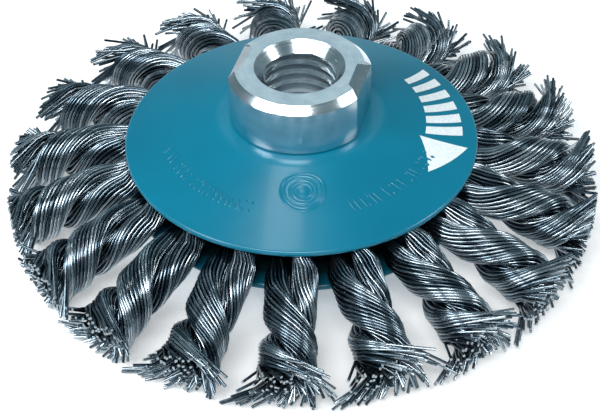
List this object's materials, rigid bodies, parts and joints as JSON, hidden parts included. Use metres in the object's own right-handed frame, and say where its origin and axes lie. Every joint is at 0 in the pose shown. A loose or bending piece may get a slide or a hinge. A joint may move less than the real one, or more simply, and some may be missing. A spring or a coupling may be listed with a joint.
{
  "type": "bevel wire brush",
  "caption": "Conical twist-knot steel wire brush for an angle grinder: dished painted cover plates, plated threaded nut, and a ring of left-hand twisted wire knots with flared ends",
  "frame": {"origin": "centre of the nut's seating face, at the mouth of the spindle thread", "axes": "+Z points out of the nut's mouth, towards the grinder, along the axis the brush spins on; -Y is the side with the front knot; the knots slope down and outwards"},
  "size_m": [0.1, 0.1, 0.0303],
  "materials": {
    "zinc_plated_steel": "bright zinc plating on turned steel",
    "teal_enamel": "glossy teal baked enamel on pressed sheet steel",
    "bare_sheet_steel": "bare pressed sheet steel, lightly oiled",
    "hardened_steel_wire": "drawn high-carbon steel wire, dark and lightly oiled, with bright sheared ends"
  },
  "bodies": {
    "root": {"threaded_nut": "zinc_plated_steel", "upper_plate": "teal_enamel", "lower_plate": "teal_enamel", "core_disc": "bare_sheet_steel", "upper_spacer": "bare_sheet_steel", "lower_spacer": "bare_sheet_steel", "knot_01": "hardened_steel_wire", "knot_02": "hardened_steel_wire", "knot_03": "hardened_steel_wire", "knot_04": "hardened_steel_wire", "knot_05": "hardened_steel_wire", "knot_06": "hardened_steel_wire", "knot_07": "hardened_steel_wire", "knot_08": "hardened_steel_wire", "knot_09": "hardened_steel_wire", "knot_10": "hardened_steel_wire", "knot_11": "hardened_steel_wire", "knot_12": "hardened_steel_wire", "knot_13": "hardened_steel_wire", "knot_14": "hardened_steel_wire", "knot_15": "hardened_steel_wire", "knot_16": "hardened_steel_wire", "knot_17": "hardened_steel_wire", "knot_18": "hardened_steel_wire", "knot_19": "hardened_steel_wire"}
  },
  "joints": []
}
